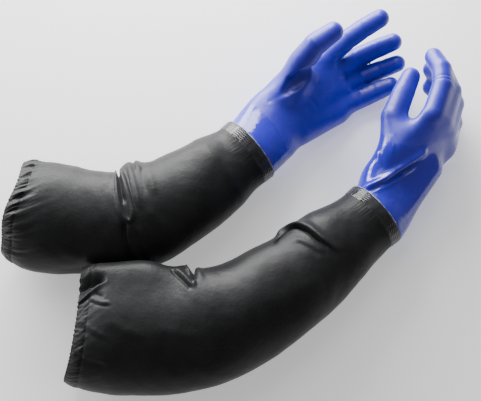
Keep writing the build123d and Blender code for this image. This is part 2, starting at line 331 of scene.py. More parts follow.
LEFT["bulges"] = [(185, 14, 11.0, 23, 32), (100, 176, -6.5, 44, 22), (0, 26, 2.0, 40, 32),
                  (252, 20, 2.0, 30, 40), (30, 182, 5.0, 26, 30), (0, 150, -6.0, 30, 26)]
LEFT["hem_pull"] = [(24, 17, 42), (110, 9, 40), (190, 7, 44)]
RIGHT["folds"] = [
    fold([(174, -40), (172, -8), (169, 16), (166, 34), (160, 52)], -10, 5.0, ends=0.12),
    fold([(150, -24), (156, 0), (161, 18), (161, 34)], 5.0, 5.0, lean=3.0, ends=0.18),
    fold([(124, 30), (138, 40), (150, 50), (159, 58)], 2.6, 3.8, deep=2.4, gap=1.5),
    fold([(158, 60), (164, 46), (167, 34)], 2.0, 3.2),
    fold([(136, 24), (148, 34), (155, 44)], -2.8, 4.6),
    fold([(186, -20), (184, 8), (180, 34), (176, 56)], 2.2, 5.2),
    fold([(298, 44), (316, 32), (334, 27), (346, 34), (350, 52), (351, 74), (352, 98)], -8.5, 3.0,
         ends=0.16),
    fold([(312, 20), (336, 16), (353, 30), (358, 54), (359, 80), (361, 112)], 5.6, 4.2, lean=4.2,
         ends=0.2),
    fold([(330, 52), (338, 76), (344, 98)], 1.4, 4.6, deep=1.0),
    fold([(-60, 52), (-8, 52), (6, 51), (18, 49), (28, 48), (37, 48)], -12.0, 9.5, ends=0.24,
         taper=0.6),
    fold([(-10, 74), (3, 68), (14, 61), (25, 55), (37, 49)], 3.6, 2.4, deep=1.0, gap=-1.6),
    fold([(12, 65), (24, 70), (34, 73), (46, 74)], 1.4, 2.3, deep=0.9),
    fold([(20, 61), (27, 64), (34, 68)], -1.8, 2.4),
    fold([(0, 88), (20, 97), (44, 107)], 1.0, 3.6, deep=0.8),
    fold([(6, 118), (24, 124), (48, 128)], 0.7, 4.0, deep=0.5),
    fold([(96, 96), (132, 104), (170, 112)], 0.8, 9.0),
    fold([(40, 88), (66, 100), (92, 106)], 1.0, 7.0),
    fold([(236, 104), (280, 112), (322, 118)], 0.8, 10.0),
]
RIGHT["bulges"] = [(70, 32, 15.0, 66, 20), (150, 26, 7.0, 22, 20), (0, 30, 13.0, 34, 22),
                   (372, 44, 2.0, 26, 30)]
RIGHT["hem_pull"] = [(34, 6, 34), (186, 13, 50)]

# How each glove is made. Lengths are in mm, and hand points are (forward, thumbward, palmward).
#   grid, busy   rings and points round the sleeve, and the stretches of s that get more rings
#   gather       how strongly the arm opening is gathered
#   flat, area   the size that the sleeve's sheet was cut to, m and square m
#   tape_path    the weld tape's line over (s, turn)
#   fat, webbing a factor on the fingers' radii, and the mm over which neighbours join
#   finish       the direction and the start of the change from glossy to grained coating
#   fill         rods that fill out the hand
#   hollow       the hollow that the thumb leaves between itself and the palm: middles and radii
#   creases      ridges and valleys along strokes over the hand
#   rings        creases and swellings round a finger: its name, place in bones, height, width
LEFT.update(
    grid=(165, 290), busy=[(0, 34), (138, 200)], gather=0.75, flat=(0.44, 0.37), area=0.142,
    tape_path=[(22, -38), (90, -34), (160, -40), (230, -36), (330, -38)],
    fat=1.13, webbing=2.5, finish=(1.0, 0.0, -32.0), fill=[],
    hollow=[((-10, 37, 19.5), 3.0), ((2, 38, 28.5), 5.5), ((14, 39, 33.5), 8.5), ((27, 42, 38.5), 12.0),
            ((40, 43, 44), 13.5), ((52, 42, 46.5), 13.0), ((63, 41, 43), 10.0)],
    creases=[
        dict(points=[(110, 36, 17), (118, 35, 18), (130, 31, 16)], high=1.3, wide=2.8),
        dict(points=[(114, 14, 9), (121, 11, 9), (128, 5, 8), (142, 2, 5)], high=1.5, wide=2.8),
        dict(points=[(104, -18, 12), (111, -21, 12), (116, -27, 13), (130, -30, 15)], high=1.4, wide=2.8),
        dict(points=[(36, 24, 33), (46, 4, 27), (50, -16, 25)], high=-0.8, wide=3.5)],
    rings=[(k, p, -0.7, 3.6) for k in ("index", "middle", "ring", "little") for p in (1.0, 2.0)]
    + [("thumb", 2.0, -0.7, 4.0), ("thumb", 1.0, -0.8, 5.0)])
RIGHT.update(
    grid=(180, 268), busy=[(0, 42), (120, 186), (300, 362)], gather=0.30, flat=(0.47, 0.47), area=0.188,
    tape_path=[(22, 116), (60, 108), (88, 108), (122, 111), (170, 124), (218, 136), (256, 132),
               (308, 134), (350, 150), (399, 147), (430, 140)],
    fat=1.09, webbing=16.0, finish=(0.72, 0.70, 59.0), fill=[((-60, -6, -38), (44, -19, -14), 23.0)],
    hollow=[],
    creases=[
        dict(points=[(-46, 47, 0), (-36, 47, -8), (-24, 45, -14), (-10, 40, -18), (2, 37, -20),
                     (14, 34, -21), (26, 32, -24), (38, 28, -25), (50, 23, -25), (60, 16, -24)],
             high=7.2, wide=5.0, ends=0.12),
        dict(points=[(-44, 45, -12), (-31, 42, -18), (-12, 35, -21), (5, 28, -22), (19, 24, -23),
                     (33, 20, -23), (46, 15, -24)], high=-3.2, wide=3.0, ends=0.15),
        dict(points=[(-44, 44, -18), (-31, 41, -22), (-8, 30, -24), (18, 20, -23), (36, 12, -22)],
             high=2.4, wide=2.8, ends=0.2),
        dict(points=[(41, 59, 13), (29, 55, 0), (19, 49, -7)], high=0.9, wide=3.2, deep=0.4),
        dict(points=[(13, 51, 17), (1, 50, 4), (-8, 47, -4)], high=0.7, wide=3.2, deep=0.3)],
    rings=[("index", 1.08, -0.9, 1.5), ("index", 1.25, -0.8, 1.4), ("index", 1.16, 0.5, 1.2),
           ("thumb", 2.0, -0.5, 4.0), ("middle", 1.1, -0.7, 1.6)])


def sleeve_shape(g):
    """A function from (s, t) to displaced points and normals, with folds, gathers and crinkles."""
    S = Sleeve(g)
    L = S.length
    gather, fine = waves(g["seed"], 9, 22, 42), waves(g["seed"] + 1, 8, 50, 84)
    crinkle = waves(g["seed"] + 2, 10, 34, 72)
    patch = waves(g["seed"] + 5, 6, 2, 7)
    soft, tiny = slow(g["seed"] + 3), slow(g["seed"] + 4, 14, (16.0, 44.0), (3, 14))

    def shape(s, t, lift=0.0):
        s, t = np.broadcast_arrays(np.asarray(s, float), np.asarray(t, float))
        _, _, _, w, h = S.at(s)
        radius = np.sqrt((w * w + h * h) / 2)
        d = np.zeros(s.shape)
        slide = np.zeros(s.shape)
        inner = smoothstep(13, 30, s) * smoothstep(17, 34, L - s)     # folds fade under the trims
        for at_s, at_t, high, reach, turn in g["bulges"]:
            dt = (t - math.radians(at_t) + np.pi) % (2 * np.pi) - np.pi
            d += high * np.exp(-((s - at_s) / reach) ** 2 - (dt / math.radians(turn)) ** 2)
        for at_t, out, turn in g["hem_pull"]:
            dt = (t - math.radians(at_t) + np.pi) % (2 * np.pi) - np.pi
            slide += out * np.exp(-(dt / math.radians(turn)) ** 2) * (1 - smoothstep(-5, 60, s))
        size = g["gather"] * (1.0 + 0.5 * patch(s * 0, t))             # gathers come in bunches
        hem = smoothstep(-2, 12, s) * np.exp(-np.maximum(s - 12, 0) / (13 + 7 * patch(s * 0, t + 2)))
        slant = t + 0.009 * s
        edge = 1 - smoothstep(2, 26, s)
        d += (0.6 * edge + 2.2 * hem) * size * gather(s, slant)
        d += (0.3 * edge + 0.9 * hem) * size * fine(s, slant)
        slide += 0.9 * fine(s * 0, t + 1.0) * np.exp(-np.maximum(s, 0) / 8)
        d += 0.30 * crinkle(s, t) * np.exp(-np.maximum(L - s - 17, 0) / 11) * smoothstep(12, 20, L - s)
        d += (0.75 * soft(s, t) + 0.12 * tiny(s, t)) * inner
        for f in g["folds"]:
            dist, side, place = stroke_field(f["points"], s, t, radius)
            fade = smoothstep(0, f["ends"], place) * smoothstep(0, f["ends"], 1 - place)
            hit = np.exp(-(dist / (f["wide"] * (1 - f["taper"] * place))) ** 2) * fade
            near_hem = 1.0 if f["points"][0][0] < 20 else inner
            d += f["high"] * hit * near_hem
            if f["deep"]:
                beside = dist * side - f["gap"] * f["wide"]
                d -= f["deep"] * np.exp(-(beside / (0.9 * f["wide"])) ** 2) * fade * near_hem
            slide += f["lean"] * hit * near_hem
        p, n, forward = S.surface(s, t, d + lift)
        p = p - forward * slide[..., None]
        floor = 0.5                          # what would sink into the floor is laid flat on it
        z = p[..., 2] - floor
        p[..., 2] = floor + np.where(z > 6, z, 1.2 * np.log1p(np.exp(np.minimum(z, 20) / 1.2)))
        return p, n
    return S, shape


def tube_faces(ns, nt, closed=True):
    """Quads of a tube of ns rings of nt points, or of an open strip."""
    faces = []
    for i in range(ns - 1):
        for j in range(nt if closed else nt - 1):
            k = (j + 1) % nt
            faces.append((i * nt + j, (i + 1) * nt + j, (i + 1) * nt + k, i * nt + k))
    return faces


def across_elbow(obj):
    """Bake a piece of fabric's placement into its mesh."""
    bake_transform(obj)


def make_fabric(g, S, shape, mat):
    side, L = g["side"], S.length
    ns, nt = g["grid"]
    rows = np.linspace(0.6, L - 0.2, 2000)
    dense = np.full(rows.shape, 1.0)                                   # more rings where the fabric folds
    for start, stop in g["busy"]:
        dense += 1.4 * smoothstep(start - 15, start, rows) * smoothstep(-stop - 15, -stop, -rows)
    share = np.concatenate([[0], np.cumsum(dense[1:] + dense[:-1])])
    s = np.interp(np.linspace(0, share[-1], ns), share, rows)
    s, t = np.meshgrid(s, np.linspace(0, 2 * np.pi, nt, endpoint=False), indexing="ij")
    p, _ = shape(s, t, lift=-0.7 * (1 - smoothstep(12.5, 17.0, s)))
    body = new_mesh(side + "_sleeve_fabric", p.reshape(-1, 3), tube_faces(ns, nt))
    solidify(body, FABRIC_WALL)
    body.data.materials.append(mat)
    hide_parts(side + "_sleeve_upper", side + "_sleeve_elbow", side + "_sleeve_forearm")
    across_elbow(body)
    return body


def make_tape(g, S, shape, mat):
    """The weld tape, following its own wandering line over the fabric."""
    side = g["side"]
    path = catmull(g["tape_path"], 40)
    u = np.linspace(-1, 1, 9)
    ss = path[:, 0][:, None] + 0 * u
    _, _, _, w, h = S.at(path[:, 0])
    radius = np.sqrt((w ** 2 + h ** 2) / 2)[:, None]
    tt = np.radians(path[:, 1])[:, None] + u * TAPE_HALF_WIDTH / radius
    rise = 0.25 + 0.42 * (1 - np.abs(u) ** 6) + 0.16 * np.cos(u * 3.1 * np.pi)
    p, _ = shape(ss, tt, lift=np.broadcast_to(rise, ss.shape))
    tape = new_mesh(side + "_weld_tape", p.reshape(-1, 3), tube_faces(len(path), len(u), closed=False))
    tape.data.materials.append(mat)
    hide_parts(side + "_seam_tape_upper", side + "_seam_tape_elbow", side + "_seam_tape_forearm")
    across_elbow(tape)
    return tape


def make_band(g, S, shape, mat):
    """The ribbed weld band at the glove end."""
    side, L = g["side"], S.length
    ribs = waves(g["seed"] + 7, 9, 10, 34)
    nb, mb = 40, 420
    sb, tb = np.meshgrid(np.linspace(L - BAND_BACK, L - BAND_FRONT, nb),
                         np.linspace(0, 2 * np.pi, mb, endpoint=False), indexing="ij")
    v = (sb - (L - BAND_BACK)) / (BAND_BACK - BAND_FRONT)
    edge = smoothstep(0, 0.08, v) * smoothstep(0, 0.08, 1 - v)
    flow = v * 2 * np.pi * 5.5 + 1.5 * ribs(sb * 0, tb)
    lift = 0.35 + edge * (0.65 + 0.30 * np.cos(flow) + 0.22 * ribs(sb, tb + 0.7))
    p, _ = shape(sb, tb, lift=np.maximum(lift, 0.25))
    band = new_mesh(side + "_weld_band", p.reshape(-1, 3), tube_faces(nb, mb))
    solidify(band, BAND_WALL)
    band.data.materials.append(mat)
    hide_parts(side + "_join_band")
    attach(band, side + "_glove")


def make_bead(g, S, mat):
    """The pale seal bead on the gauntlet, an uneven ring."""
    side, L = g["side"], S.length
    mb, nr = 220, 8
    a = np.linspace(0, 2 * np.pi, mb, endpoint=False)
    q = np.linspace(0, 2 * np.pi, nr, endpoint=False)
    aa, qq = np.meshgrid(a, q, indexing="ij")
    wob = 0.16 * waves(g["seed"] + 9, 6, 5, 23)(0 * aa, aa)
    r = 0.72 + 0.6 * wob
    p, _, forward = S.surface(L + 0 * aa, aa, lift=-1.5 + 0.66 + r * np.sin(qq))
    p = p + forward * (0.75 + wob + r * np.cos(qq))[..., None]
    bead = new_mesh(side + "_seal_line", p.reshape(-1, 3), wrap_faces(mb, nr))
    bead.data.materials.append(mat)
    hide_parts(side + "_seal_bead")
    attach(bead, side + "_glove")


def make_casing(g, shape, mat):
    """The turned casing round the arm opening: a U of fabric over the elastic."""
    side = g["side"]
    pucker = waves(g["seed"] + 6, 8, 36, 70)
    # along the sleeve, lift off the fabric, share of the puckers
    prof = catmull([(15.8, 0.1, .1), (14.6, 0.6, .5), (11.5, 1.5, 1), (7.5, 1.8, 1), (3.5, 1.7, 1),
                    (0.2, 1.2, .8), (-1.4, 0.4, .6), (-1.0, -1.0, .4), (1.5, -1.9, .4), (7, -2.2, .3),
                    (13, -2.0, .3)], 5)
    mb = 420
    tb = np.linspace(0, 2 * np.pi, mb, endpoint=False)
    sb, tb = np.meshgrid(prof[:, 0], tb, indexing="ij")
    lift = prof[:, 1][:, None] + prof[:, 2][:, None] * np.maximum(
        (0.13 + 0.28 * g["gather"]) * pucker(sb, tb + 0.012 * sb), -0.25)
    p, _ = shape(sb, tb, lift=lift)
    casing = new_mesh(side + "_hem_fabric", p.reshape(-1, 3), tube_faces(len(prof), mb))
    solidify(casing, CASING_WALL)
    casing.data.materials.append(mat)
    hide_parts(side + "_hem_casing")
    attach(casing, side + "_upper_sleeve")
    return casing


def make_stitches(g, shape, mat):
    """The stitches that close the casing, each a short thread that dips in at both ends."""
    side = g["side"]
    verts, faces = [], []
    for i in range(STITCHES):
        mid = 2 * np.pi * (i + 0.5) / STITCHES
        half = 2 * np.pi / STITCHES * STITCH_SHARE
        tt = np.linspace(mid - half, mid + half, 5)
        ssk = STITCH_LINE + 0.5 * np.sin(3 * mid + g["seed"]) + 0 * tt
        c, n = shape(ssk, tt, lift=0.30 + 0.22 * np.array([-1.2, .6, 1, .6, -1.2]))
        start = len(verts)
        for k in range(5):
            tangent = unit(c[min(k + 1, 4)] - c[max(k - 1, 0)])
            b = np.cross(tangent, n[k])
            rad = STITCH_RADIUS * (0.55 if k in (0, 4) else 1.0)
            for e in range(6):
                ang = 2 * np.pi * e / 6
                verts.append(c[k] + rad * (n[k] * math.cos(ang) + b * math.sin(ang)))
        for k in range(4):
            for e in range(6):
                e2, ring = (e + 1) % 6, start + k * 6
                faces.append((ring + e, ring + e2, ring + 6 + e2, ring + 6 + e))
        faces.append(tuple(start + e for e in range(5, -1, -1)))
        faces.append(tuple(start + 24 + e for e in range(6)))
    stitches = new_mesh(side + "_hem_stitches", verts, faces)
    stitches.data.materials.append(mat)
    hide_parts(side + "_hem_stitching")
    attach(stitches, side + "_upper_sleeve")
    return stitches


def make_sleeve(g, fabric, tape_mat, band_mat, bead_mat, thread_mat):
    S, shape = sleeve_shape(g)
    body = make_fabric(g, S, shape, fabric)
    tape = make_tape(g, S, shape, tape_mat)
    make_band(g, S, shape, band_mat)
    make_bead(g, S, bead_mat)
    casing = make_casing(g, shape, fabric)
    stitches = make_stitches(g, shape, thread_mat)
    return S, shape


def wrap_faces(n, m):
    """Quads of a closed ring of closed rings."""
    return [(i * m + j, ((i + 1) % n) * m + j, ((i + 1) % n) * m + (j + 1) % m, i * m + (j + 1) % m)
            for i in range(n) for j in range(m)]


# ------------------------------------------------------------------ hands
def palm_rings(g, S):
    """Rings of the gauntlet and palm, from inside the sleeve to the knuckles."""
    c, forward, left, w, h = S.at(np.array([S.length]))
    end = (c[0], forward[0], left[0], np.cross(forward[0], left[0]))
    hw, hh = w[0] - CUFF_INSET, h[0] - CUFF_INSET
    rows = []
    for along in (-34, -18, -2, 5):
        rows.append(np.concatenate([end[0] + end[1] * along, end[1], end[2], [hw, hh]]))
    for at, heading, pitch, roll, wide, thick in g["gauntlet"]:
        o, f, a, b = section(at, heading, pitch, roll)
        rows.append(np.concatenate([o, f, a, [wide, thick]]))
    f, a, _ = hand_axes(g)
    wrist = np.array(g["wrist"], float) + SHIFT
    for along, wide, thick in PALM:
        rows.append(np.concatenate([wrist + f * along, f, a, [wide, thick]]))
    rings = []
    for r in catmull(rows, 6):
        f = unit(r[3:6])
        a = unit(r[6:9] - f * (r[6:9] @ f))
        b = np.cross(f, a)
        th = np.linspace(0, 2 * np.pi, 72, endpoint=False)
        rings.append(r[:3] + np.outer(np.cos(th) * r[9], a) + np.outer(np.sin(th) * r[10], b))
    return np.array(rings), end


def smin(a, b, k):
    """The lesser of two distances, rounded over k mm where they meet."""
    h = np.clip(0.5 + 0.5 * (b - a) / k, 0, 1)
    return b * (1 - h) + a * h - k * h * (1 - h)


def cone(P, a, b, ra, rb):
    """Distance from points P to a rod from a to b whose radius goes from ra to rb."""
    d = b - a
    t = np.clip(((P - a) @ d) / (d @ d), 0, 1).astype(np.float32)
    return np.linalg.norm(P - (a + t[..., None] * d), axis=-1) - (ra + t * (rb - ra))


def hand_field(g, S, voxel):
    """Signed distance to the hand on a grid: gauntlet and palm, blended with fingers and thumb."""
    rings, end = palm_rings(g, S)
    joints = {k: finger_joints(g, k) for k in FINGERS}
    pts = np.vstack([rings.reshape(-1, 3)] + [j[0] for j in joints.values()])
    lo, hi = pts.min(0) - 20, pts.max(0) + 20
    dims = np.ceil((hi - lo) / voxel).astype(int)
    n, m = rings.shape[:2]
    verts = np.vstack([(rings.reshape(-1, 3) - lo) / voxel, [(rings[0].mean(0) - lo) / voxel],
                       [(rings[-1].mean(0) - lo) / voxel]]).astype(np.float32)
    quads = np.array(tube_faces(n, m), np.uint32)
    tris = np.array([(n * m, j, (j + 1) % m) for j in range(m)]
                    + [(n * m + 1, (n - 1) * m + (j + 1) % m, (n - 1) * m + j) for j in range(m)],
                    np.uint32)
    grid = openvdb.FloatGrid.createLevelSetFromPolygons(verts, triangles=tris, quads=quads,
                                                        halfWidth=10)
    palm = np.full(dims, 10.0, np.float32)
    grid.copyToArray(palm, ijk=(0, 0, 0))
    palm *= voxel
    X = np.stack(np.meshgrid(*[np.arange(k, dtype=np.float32) for k in dims], indexing="ij"), -1) * voxel
    X += lo.astype(np.float32)
    f, t, nrm = hand_axes(g)
    wrist = np.array(g["wrist"], float) + SHIFT

    def local(a, b, c):
        return (wrist + f * a + t * b + nrm * c).astype(np.float32)
    # ball of the thumb and heel of the hand
    field = smin(palm, cone(X, local(14, 22, 8), local(56, 36, 10), 17, 17), 14)
    field = smin(field, cone(X, local(18, -30, 7), local(82, -40, 3), 17, 17), 12)
    for a, b, r in g["fill"]:
        field = smin(field, cone(X, local(*a), local(*b), r, r), 12)
    fingers = None
    for name, (J, R) in joints.items():
        J = J.astype(np.float32)
        one = None
        for i in range(3):
            c = cone(X, J[i], J[i + 1], R[i] * g["fat"], R[i + 1] * g["fat"])
            one = c if one is None else smin(one, c, 2.0)
        if name == "thumb":
            field = smin(field, one, 16)
        else:
            fingers = one if fingers is None else smin(fingers, one, g["webbing"])
    field = smin(field, fingers, 9)
    hollow = None
    for (a, ra), (b, rb) in zip(g["hollow"], g["hollow"][1:]):
        c = cone(X, local(*a), local(*b), ra, rb)
        hollow = c if hollow is None else smin(hollow, c, 3.0)
    if hollow is not None:
        field = -smin(-field, hollow, 1.6)
    return field, lo, end


def to_mesh(field, lo, voxel):
    grid = openvdb.FloatGrid(background=float(field.max()))
    grid.copyFromArray(np.ascontiguousarray(field, np.float32), ijk=(0, 0, 0))
    pts, quads = grid.convertToQuads(isovalue=0.0)
    return np.array(pts, float) * voxel + lo, np.array(quads, int)


def relax(verts, quads, rounds, factor=0.5):
    """A few rounds of Laplacian smoothing."""
    e = np.vstack([quads[:, [0, 1]], quads[:, [1, 2]], quads[:, [2, 3]], quads[:, [3, 0]]])
    for _ in range(rounds):
        total, count = np.zeros_like(verts), np.zeros(len(verts))
        for a, b in ((0, 1), (1, 0)):
            np.add.at(total, e[:, a], verts[e[:, b]])
            np.add.at(count, e[:, a], 1)
        mean = total / np.maximum(count, 1)[:, None]
        verts = verts + (mean - verts) * factor
    return verts


def vertex_normals(verts, quads):
    a = np.cross(verts[quads[:, 2]] - verts[quads[:, 0]], verts[quads[:, 3]] - verts[quads[:, 1]])
    n = np.zeros_like(verts)
    for k in range(4):
        np.add.at(n, quads[:, k], a)
    return n / np.maximum(np.linalg.norm(n, axis=1), 1e-9)[:, None]


def crease(verts, normals, points, high, wide, deep=0.0, gap=1.4, ends=0.2):
    """Raise or sink the surface along a stroke of 3-D points (mm)."""
    P = catmull(points, 8) if len(points) > 2 else np.asarray(points, float)
    best = np.full(len(verts), 1e9)
    side, place = np.zeros(len(verts)), np.zeros(len(verts))
    close = np.linalg.norm(verts - P.mean(0), axis=1) < 40 + np.linalg.norm(P - P.mean(0), axis=1).max()
    ix = np.nonzero(close)[0]
    V, N = verts[ix], normals[ix]
    for i in range(len(P) - 1):
        a, d = P[i], P[i + 1] - P[i]
        u = np.clip(((V - a) @ d) / (d @ d), 0, 1)
        r = V - (a + u[:, None] * d)
        dist = np.linalg.norm(r, axis=1)
        near = dist < best[ix]
        sg = (r * np.cross(N, unit(d))).sum(1)
        j = ix[near]
        best[j], side[j], place[j] = dist[near], sg[near], (i + u[near]) / (len(P) - 1)
    b, s, pl = best[ix], side[ix], place[ix]
    fade = smoothstep(0, ends, pl) * smoothstep(0, ends, 1 - pl)
    move = high * (np.exp(-(b / wide) ** 2) * fade)
    if deep:
        beside = ((s - gap * wide) / (0.9 * wide)) ** 2
        beyond = (np.maximum(b - abs(gap) * wide - 2 * wide, 0) / wide) ** 2
        move -= deep * np.exp(-beside - beyond) * fade * (b < 4 * wide)
    verts = verts.copy()
    verts[ix] += N * move[:, None]
    return verts


def finger_ring(g, verts, normals, name, place, high, wide):
    """A crease or swelling right round a finger, at a place counted in bones from its root."""
    J, R = finger_joints(g, name)
    i = min(int(place), 2)
    a, b = J[i], J[i + 1]
    d = unit(b - a)
    at = a + (b - a) * (place - i)
    x = (verts - at) @ d
    off = np.linalg.norm(verts - at - x[:, None] * d, axis=1)
    near = off < R[i] * g["fat"] * 1.3
    return verts + normals * (high * np.exp(-(x / wide) ** 2) * near)[:, None]


def make_hand(g, S, shell_mat, liner_mat):
    side = g["side"]
    voxel = 1.75
    field, lo, end = hand_field(g, S, voxel)
    verts, quads = to_mesh(field, lo, voxel)
    verts = relax(verts, quads, 3)
    f, t, n = hand_axes(g)
    wrist = np.array(g["wrist"], float) + SHIFT

    def local(row):
        return wrist + f * row[0] + t * row[1] + n * row[2]
    for c in g["creases"]:
        c = dict(c)
        pts = [local(r) for r in c.pop("points")]
        verts = crease(verts, vertex_normals(verts, quads), pts, **c)
    for c in g["rings"]:
        verts = finger_ring(g, verts, vertex_normals(verts, quads), *c)
    verts = relax(verts, quads, 1, 0.35)
    z = verts[:, 2]                          # what would sink into the floor is laid flat on it
    verts[:, 2] = np.where(z < 6, 0.4 + np.log1p(np.exp(np.minimum(z - 0.4, 20))), z)
    # open the cuff
    depth = (verts - end[0]) @ end[1]
    keep = (depth[quads] > -CUFF_LAP).all(1)
    used = np.unique(quads[keep])
    remap = np.full(len(verts), -1)
    remap[used] = np.arange(len(used))
    V, Q = verts[used], remap[quads[keep]]
    shell = new_mesh(side + "_pvc_shell", V, Q)
    solidify(shell, SHELL_WALL)
    co = np.array([v.co for v in shell.data.vertices]) * 1000
    a, b, start = g["finish"]
    wob = 1.2 * np.sin(co[:, 0] / 17.0) + 1.0 * np.sin(co[:, 1] / 11.0 + 1.3)
    paint(shell, "hand_finish", smoothstep(0, 9, (co - wrist) @ (f * a + t * b) + wob - start))
    shell.data.materials.append(shell_mat)
    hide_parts(side + "_glove_shell")
    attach(shell, side + "_glove")

    # the liner, a little inside the shell and cut back from its cuff
    inner = relax(V - vertex_normals(V, Q) * LINER_GAP, Q, 2, 0.4)
    back = (((inner - end[0]) @ end[1])[Q] > -CUFF_LAP + 3).all(1)
    used = np.unique(Q[back])
    remap = np.full(len(V), -1)
    remap[used] = np.arange(len(used))
    liner = new_mesh(side + "_liner_knit", inner[used], remap[Q[back]])
    liner.data.materials.append(liner_mat)
    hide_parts(side + "_knit_liner")
    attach(liner, side + "_glove")


def make_elastic(g, shape, mat):
    """The flat elastic inside the hem casing, drawn up into small waves."""
    side = g["side"]
    prof = [(3.2, 0.45), (7.0, 0.45), (10.8, 0.45), (10.8, 1.15), (7.0, 1.25), (3.2, 1.15)]
    ripple = waves(g["seed"] + 12, 6, 60, 110)
    m = 320
    tb = np.linspace(0, 2 * np.pi, m, endpoint=False)
    sb, tb = np.meshgrid([p[0] for p in prof], tb, indexing="ij")
    lift = np.array([p[1] for p in prof])[:, None] + 0.06 * ripple(sb, tb)
    p, _ = shape(sb, tb, lift=lift)
    obj = new_mesh(side + "_elastic_ring", p.reshape(-1, 3), wrap_faces(len(prof), m))
    obj.data.materials.append(mat)
    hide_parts(side + "_hem_elastic")
    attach(obj, side + "_upper_sleeve")


# ------------------------------------------------------------------ materials
class Nodes:
    """A material and short ways to add and join its nodes."""

    def __init__(self, name):
        self.mat = bpy.data.materials.new(name)
        self.mat.use_nodes = True
        self.tree = self.mat.node_tree
        self.shader = self.tree.nodes["Principled BSDF"]
        self.place = self.add("ShaderNodeTexCoord").outputs["Object"]

    def add(self, kind, **values):
        node = self.tree.nodes.new(kind)
        for key, value in values.items():
            setattr(node, key, value)
        return node

    def link(self, a, b):
        self.tree.links.new(a, b)

    def noise(self, scale, detail=3.0, rough=0.5):
        n = self.add("ShaderNodeTexNoise")
        n.inputs["Scale"].default_value = scale
        n.inputs["Detail"].default_value = detail
        n.inputs["Roughness"].default_value = rough
        self.link(self.place, n.inputs["Vector"])
        return n.outputs["Fac"]

    def wave(self, scale, direction="X", distortion=0.0):
        n = self.add("ShaderNodeTexWave", wave_type="BANDS", bands_direction=direction)
        n.inputs["Scale"].default_value = scale
        n.inputs["Distortion"].default_value = distortion
        self.link(self.place, n.inputs["Vector"])
        return n.outputs["Fac"]

    def spread(self, fac, low, high, a=0.3, b=0.7):
        """Map a value from a..b to low..high."""
        n = self.add("ShaderNodeMapRange")
        for key, v in (("From Min", a), ("From Max", b), ("To Min", low), ("To Max", high)):
            n.inputs[key].default_value = v
        self.link(fac, n.inputs["Value"])
        return n.outputs["Result"]

    def mix(self, fac, a, b):
        n = self.add("ShaderNodeMix", data_type="RGBA")
        self.link(fac, n.inputs["Factor"])
        for socket, v in ((n.inputs[6], a), (n.inputs[7], b)):
            if isinstance(v, tuple):
                socket.default_value = (*v, 1)
            else:
                self.link(v, socket)
        return n.outputs[2]

    def math(self, op, a, b):
        n = self.add("ShaderNodeMath", operation=op)
        for socket, v in zip(n.inputs, (a, b)):
            if isinstance(v, (int, float)):
                socket.default_value = v
            else:
                self.link(v, socket)
        return n.outputs[0]

    def bump(self, height, distance, strength=1.0, below=None):
        n = self.add("ShaderNodeBump")
        n.inputs["Distance"].default_value = distance
        n.inputs["Strength"].default_value = strength
        self.link(height, n.inputs["Height"])
        if below is not None:
            self.link(below, n.inputs["Normal"])
        return n.outputs["Normal"]

    def finish(self, colour=None, roughness=None, normal=None, **plain):
        for key, value in (("Base Color", colour), ("Roughness", roughness), ("Normal", normal)):
            if isinstance(value, tuple):
                self.shader.inputs[key].default_value = (*value, 1)
            elif isinstance(value, (int, float)):
                self.shader.inputs[key].default_value = value
            elif value is not None:
                self.link(value, self.shader.inputs[key])
        for key, value in plain.items():
            self.shader.inputs[key.replace("_", " ")].default_value = value
        return self.mat


def blue_pvc():
    n = Nodes("blue_pvc")
    grain = n.noise(1500.0, 2.0, 0.6)
    peel = n.noise(260.0, 3.0, 0.5)
    cloud = n.noise(14.0, 3.0, 0.55)
    finish = n.add("ShaderNodeAttribute", attribute_name="hand_finish").outputs["Fac"]
    colour = n.mix(n.spread(cloud, 0, 1), (0.020, 0.018, 0.40), (0.028, 0.025, 0.50))
    worn = n.mix(n.spread(n.noise(70.0, 5.0, 0.6), 0, 0.5, 0.5, 0.75), colour, (0.050, 0.050, 0.60))
    rough = n.math("ADD", n.spread(finish, 0.12, 0.37, 0, 1), n.spread(peel, -0.03, 0.05))
    wave = n.bump(n.noise(38.0, 2.0, 0.5), 0.0016, 0.35)
    skin = n.bump(peel, 0.0003, 0.45, wave)
    normal = n.bump(n.math("MULTIPLY", grain, n.spread(finish, 0.1, 1.0, 0, 1)), 0.00012, 0.6, skin)
    return n.finish(worn, rough, normal, IOR=1.52, Specular_IOR_Level=0.58, Sheen_Weight=0.07,
                    Sheen_Roughness=0.45, Sheen_Tint=(0.80, 0.85, 1.0, 1.0))


def black_fabric():
    n = Nodes("black_coated_fabric")
    weave = n.math("MULTIPLY", n.wave(340.0, "X"), n.wave(340.0, "Y"))
    cloud = n.noise(22.0, 4.0, 0.6)
    fine = n.noise(420.0, 3.0, 0.6)
    colour = n.mix(n.spread(cloud, 0, 1), (0.0110, 0.0113, 0.0122), (0.0185, 0.0188, 0.0200))
    dusty = n.mix(n.spread(fine, 0, 0.35, 0.45, 0.8), colour, (0.030, 0.030, 0.032))
    rough = n.math("ADD", n.spread(cloud, 0.36, 0.46), n.spread(fine, -0.02, 0.04))
    crumple = n.bump(n.noise(85.0, 4.0, 0.62), 0.0016, 0.35)
    normal = n.bump(weave, 0.00008, 0.35, n.bump(fine, 0.00018, 0.4, crumple))
    return n.finish(dusty, rough, normal, IOR=1.5, Specular_IOR_Level=0.14, Sheen_Weight=0.06,
                    Sheen_Roughness=0.35)


